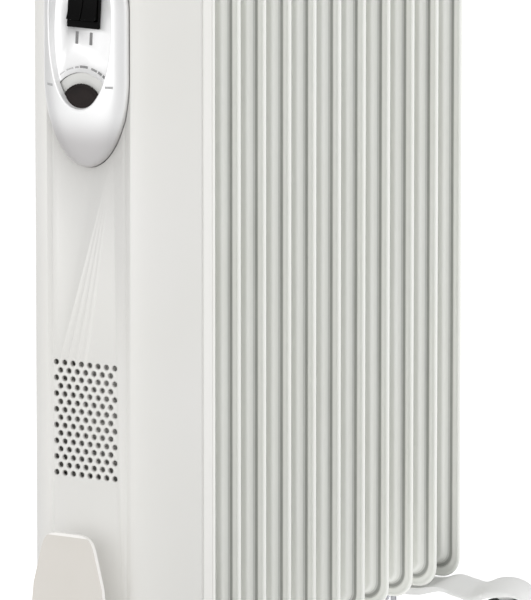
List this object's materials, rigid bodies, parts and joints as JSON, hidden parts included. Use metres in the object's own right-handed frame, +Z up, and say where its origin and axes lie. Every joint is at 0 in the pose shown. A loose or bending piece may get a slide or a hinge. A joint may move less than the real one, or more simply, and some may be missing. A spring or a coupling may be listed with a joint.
{
  "type": "oil filled radiator heater",
  "caption": "Free-standing oil filled radiator: pressed fins on two headers, a front control housing with rockers and a dial, a cord hook and castor feet.",
  "frame": {"origin": "on the floor, under the middle of the object's box", "axes": "+Z up, -Y out of the control housing, +Y to the last fin, X across the fins"},
  "size_m": [0.282, 0.4937, 0.656],
  "materials": {
    "fin_enamel": "satin baked enamel",
    "foot_enamel": "satin baked enamel",
    "white_plastic": "fine moulded satin",
    "pearl_plastic": "pearl silver lacquer",
    "black_plastic": "satin black",
    "grey_plastic": "satin light grey",
    "zinc_steel": "zinc plated",
    "element_sheath": "heat tinted sheath",
    "tread_rubber": "matt black tread"
  },
  "bodies": {
    "root": {"control_panel": "pearl_plastic", "cord_gland": "black_plastic", "cord_hook": "white_plastic", "element_flange": "zinc_steel", "filler_plug": "zinc_steel", "fin_01": "fin_enamel", "fin_02": "fin_enamel", "fin_03": "fin_enamel", "fin_04": "fin_enamel", "fin_05": "fin_enamel", "fin_06": "fin_enamel", "fin_07": "fin_enamel", "fin_08": "fin_enamel", "fin_09": "fin_enamel", "fin_10": "fin_enamel", "fin_11": "fin_enamel", "front_cover": "white_plastic", "front_foot": "foot_enamel", "front_u_bolt": "zinc_steel", "front_wing_nut_left": "zinc_steel", "front_wing_nut_right": "zinc_steel", "heating_element": "element_sheath", "lower_header": "fin_enamel", "rear_foot": "foot_enamel", "rear_shell": "white_plastic", "rear_u_bolt": "zinc_steel", "rear_wing_nut_left": "zinc_steel", "rear_wing_nut_right": "zinc_steel", "switch_body": "black_plastic", "switch_frame": "black_plastic", "terminal_block": "white_plastic", "thermal_cutout": "black_plastic", "thermostat": "grey_plastic", "tilt_switch": "black_plastic", "upper_header": "fin_enamel"},
    "rocker_left": {"rocker_left": "black_plastic"},
    "rocker_right": {"rocker_right": "black_plastic"},
    "dial": {"dial": "grey_plastic", "dial_grip": "black_plastic", "dial_shaft": "zinc_steel"},
    "castor_front_left_swivel": {"castor_front_left_fork": "black_plastic", "castor_front_left_axle": "zinc_steel"},
    "castor_front_left_wheel": {"castor_front_left_wheel": "tread_rubber"},
    "castor_front_right_swivel": {"castor_front_right_fork": "black_plastic", "castor_front_right_axle": "zinc_steel"},
    "castor_front_right_wheel": {"castor_front_right_wheel": "tread_rubber"},
    "castor_rear_left_swivel": {"castor_rear_left_fork": "black_plastic", "castor_rear_left_axle": "zinc_steel"},
    "castor_rear_left_wheel": {"castor_rear_left_wheel": "tread_rubber"},
    "castor_rear_right_swivel": {"castor_rear_right_fork": "black_plastic", "castor_rear_right_axle": "zinc_steel"},
    "castor_rear_right_wheel": {"castor_rear_right_wheel": "tread_rubber"}
  },
  "joints": [
    {"name": "rocker_left_press", "type": "hinge", "parent": "root", "child": "rocker_left", "pos_m": [-0.006, -0.22063, 0.58622], "axis": [1, 0, 0], "range_deg": [0, 16]},
    {"name": "rocker_right_press", "type": "hinge", "parent": "root", "child": "rocker_right", "pos_m": [0.006, -0.22063, 0.58622], "axis": [1, 0, 0], "range_deg": [0, 16]},
    {"name": "dial_turn", "type": "hinge", "parent": "root", "child": "dial", "pos_m": [0, -0.22442, 0.511], "axis": [0, -0.9964, 0.0847], "range_deg": [-135, 135]},
    {"name": "castor_front_left_turn", "type": "hinge", "parent": "root", "child": "castor_front_left_swivel", "pos_m": [-0.118, -0.1282, 0.065], "axis": [0, 0, 1], "continuous": true},
    {"name": "castor_front_left_roll", "type": "hinge", "parent": "castor_front_left_swivel", "child": "castor_front_left_wheel", "pos_m": [-0.1221, -0.13948, 0.02068], "axis": [0.9397, -0.342, 0], "continuous": true},
    {"name": "castor_front_right_turn", "type": "hinge", "parent": "root", "child": "castor_front_right_swivel", "pos_m": [0.118, -0.1282, 0.065], "axis": [0, 0, 1], "continuous": true},
    {"name": "castor_front_right_roll", "type": "hinge", "parent": "castor_front_right_swivel", "child": "castor_front_right_wheel", "pos_m": [0.1221, -0.13948, 0.02068], "axis": [0.9397, 0.342, 0], "continuous": true},
    {"name": "castor_rear_left_turn", "type": "hinge", "parent": "root", "child": "castor_rear_left_swivel", "pos_m": [-0.118, 0.2138, 0.065], "axis": [0, 0, 1], "continuous": true},
    {"name": "castor_rear_left_roll", "type": "hinge", "parent": "castor_rear_left_swivel", "child": "castor_rear_left_wheel", "pos_m": [-0.1221, 0.22508, 0.02068], "axis": [-0.9397, -0.342, 0], "continuous": true},
    {"name": "castor_rear_right_turn", "type": "hinge", "parent": "root", "child": "castor_rear_right_swivel", "pos_m": [0.118, 0.2138, 0.065], "axis": [0, 0, 1], "continuous": true},
    {"name": "castor_rear_right_roll", "type": "hinge", "parent": "castor_rear_right_swivel", "child": "castor_rear_right_wheel", "pos_m": [0.1221, 0.22508, 0.02068], "axis": [-0.9397, 0.342, 0], "continuous": true}
  ]
}
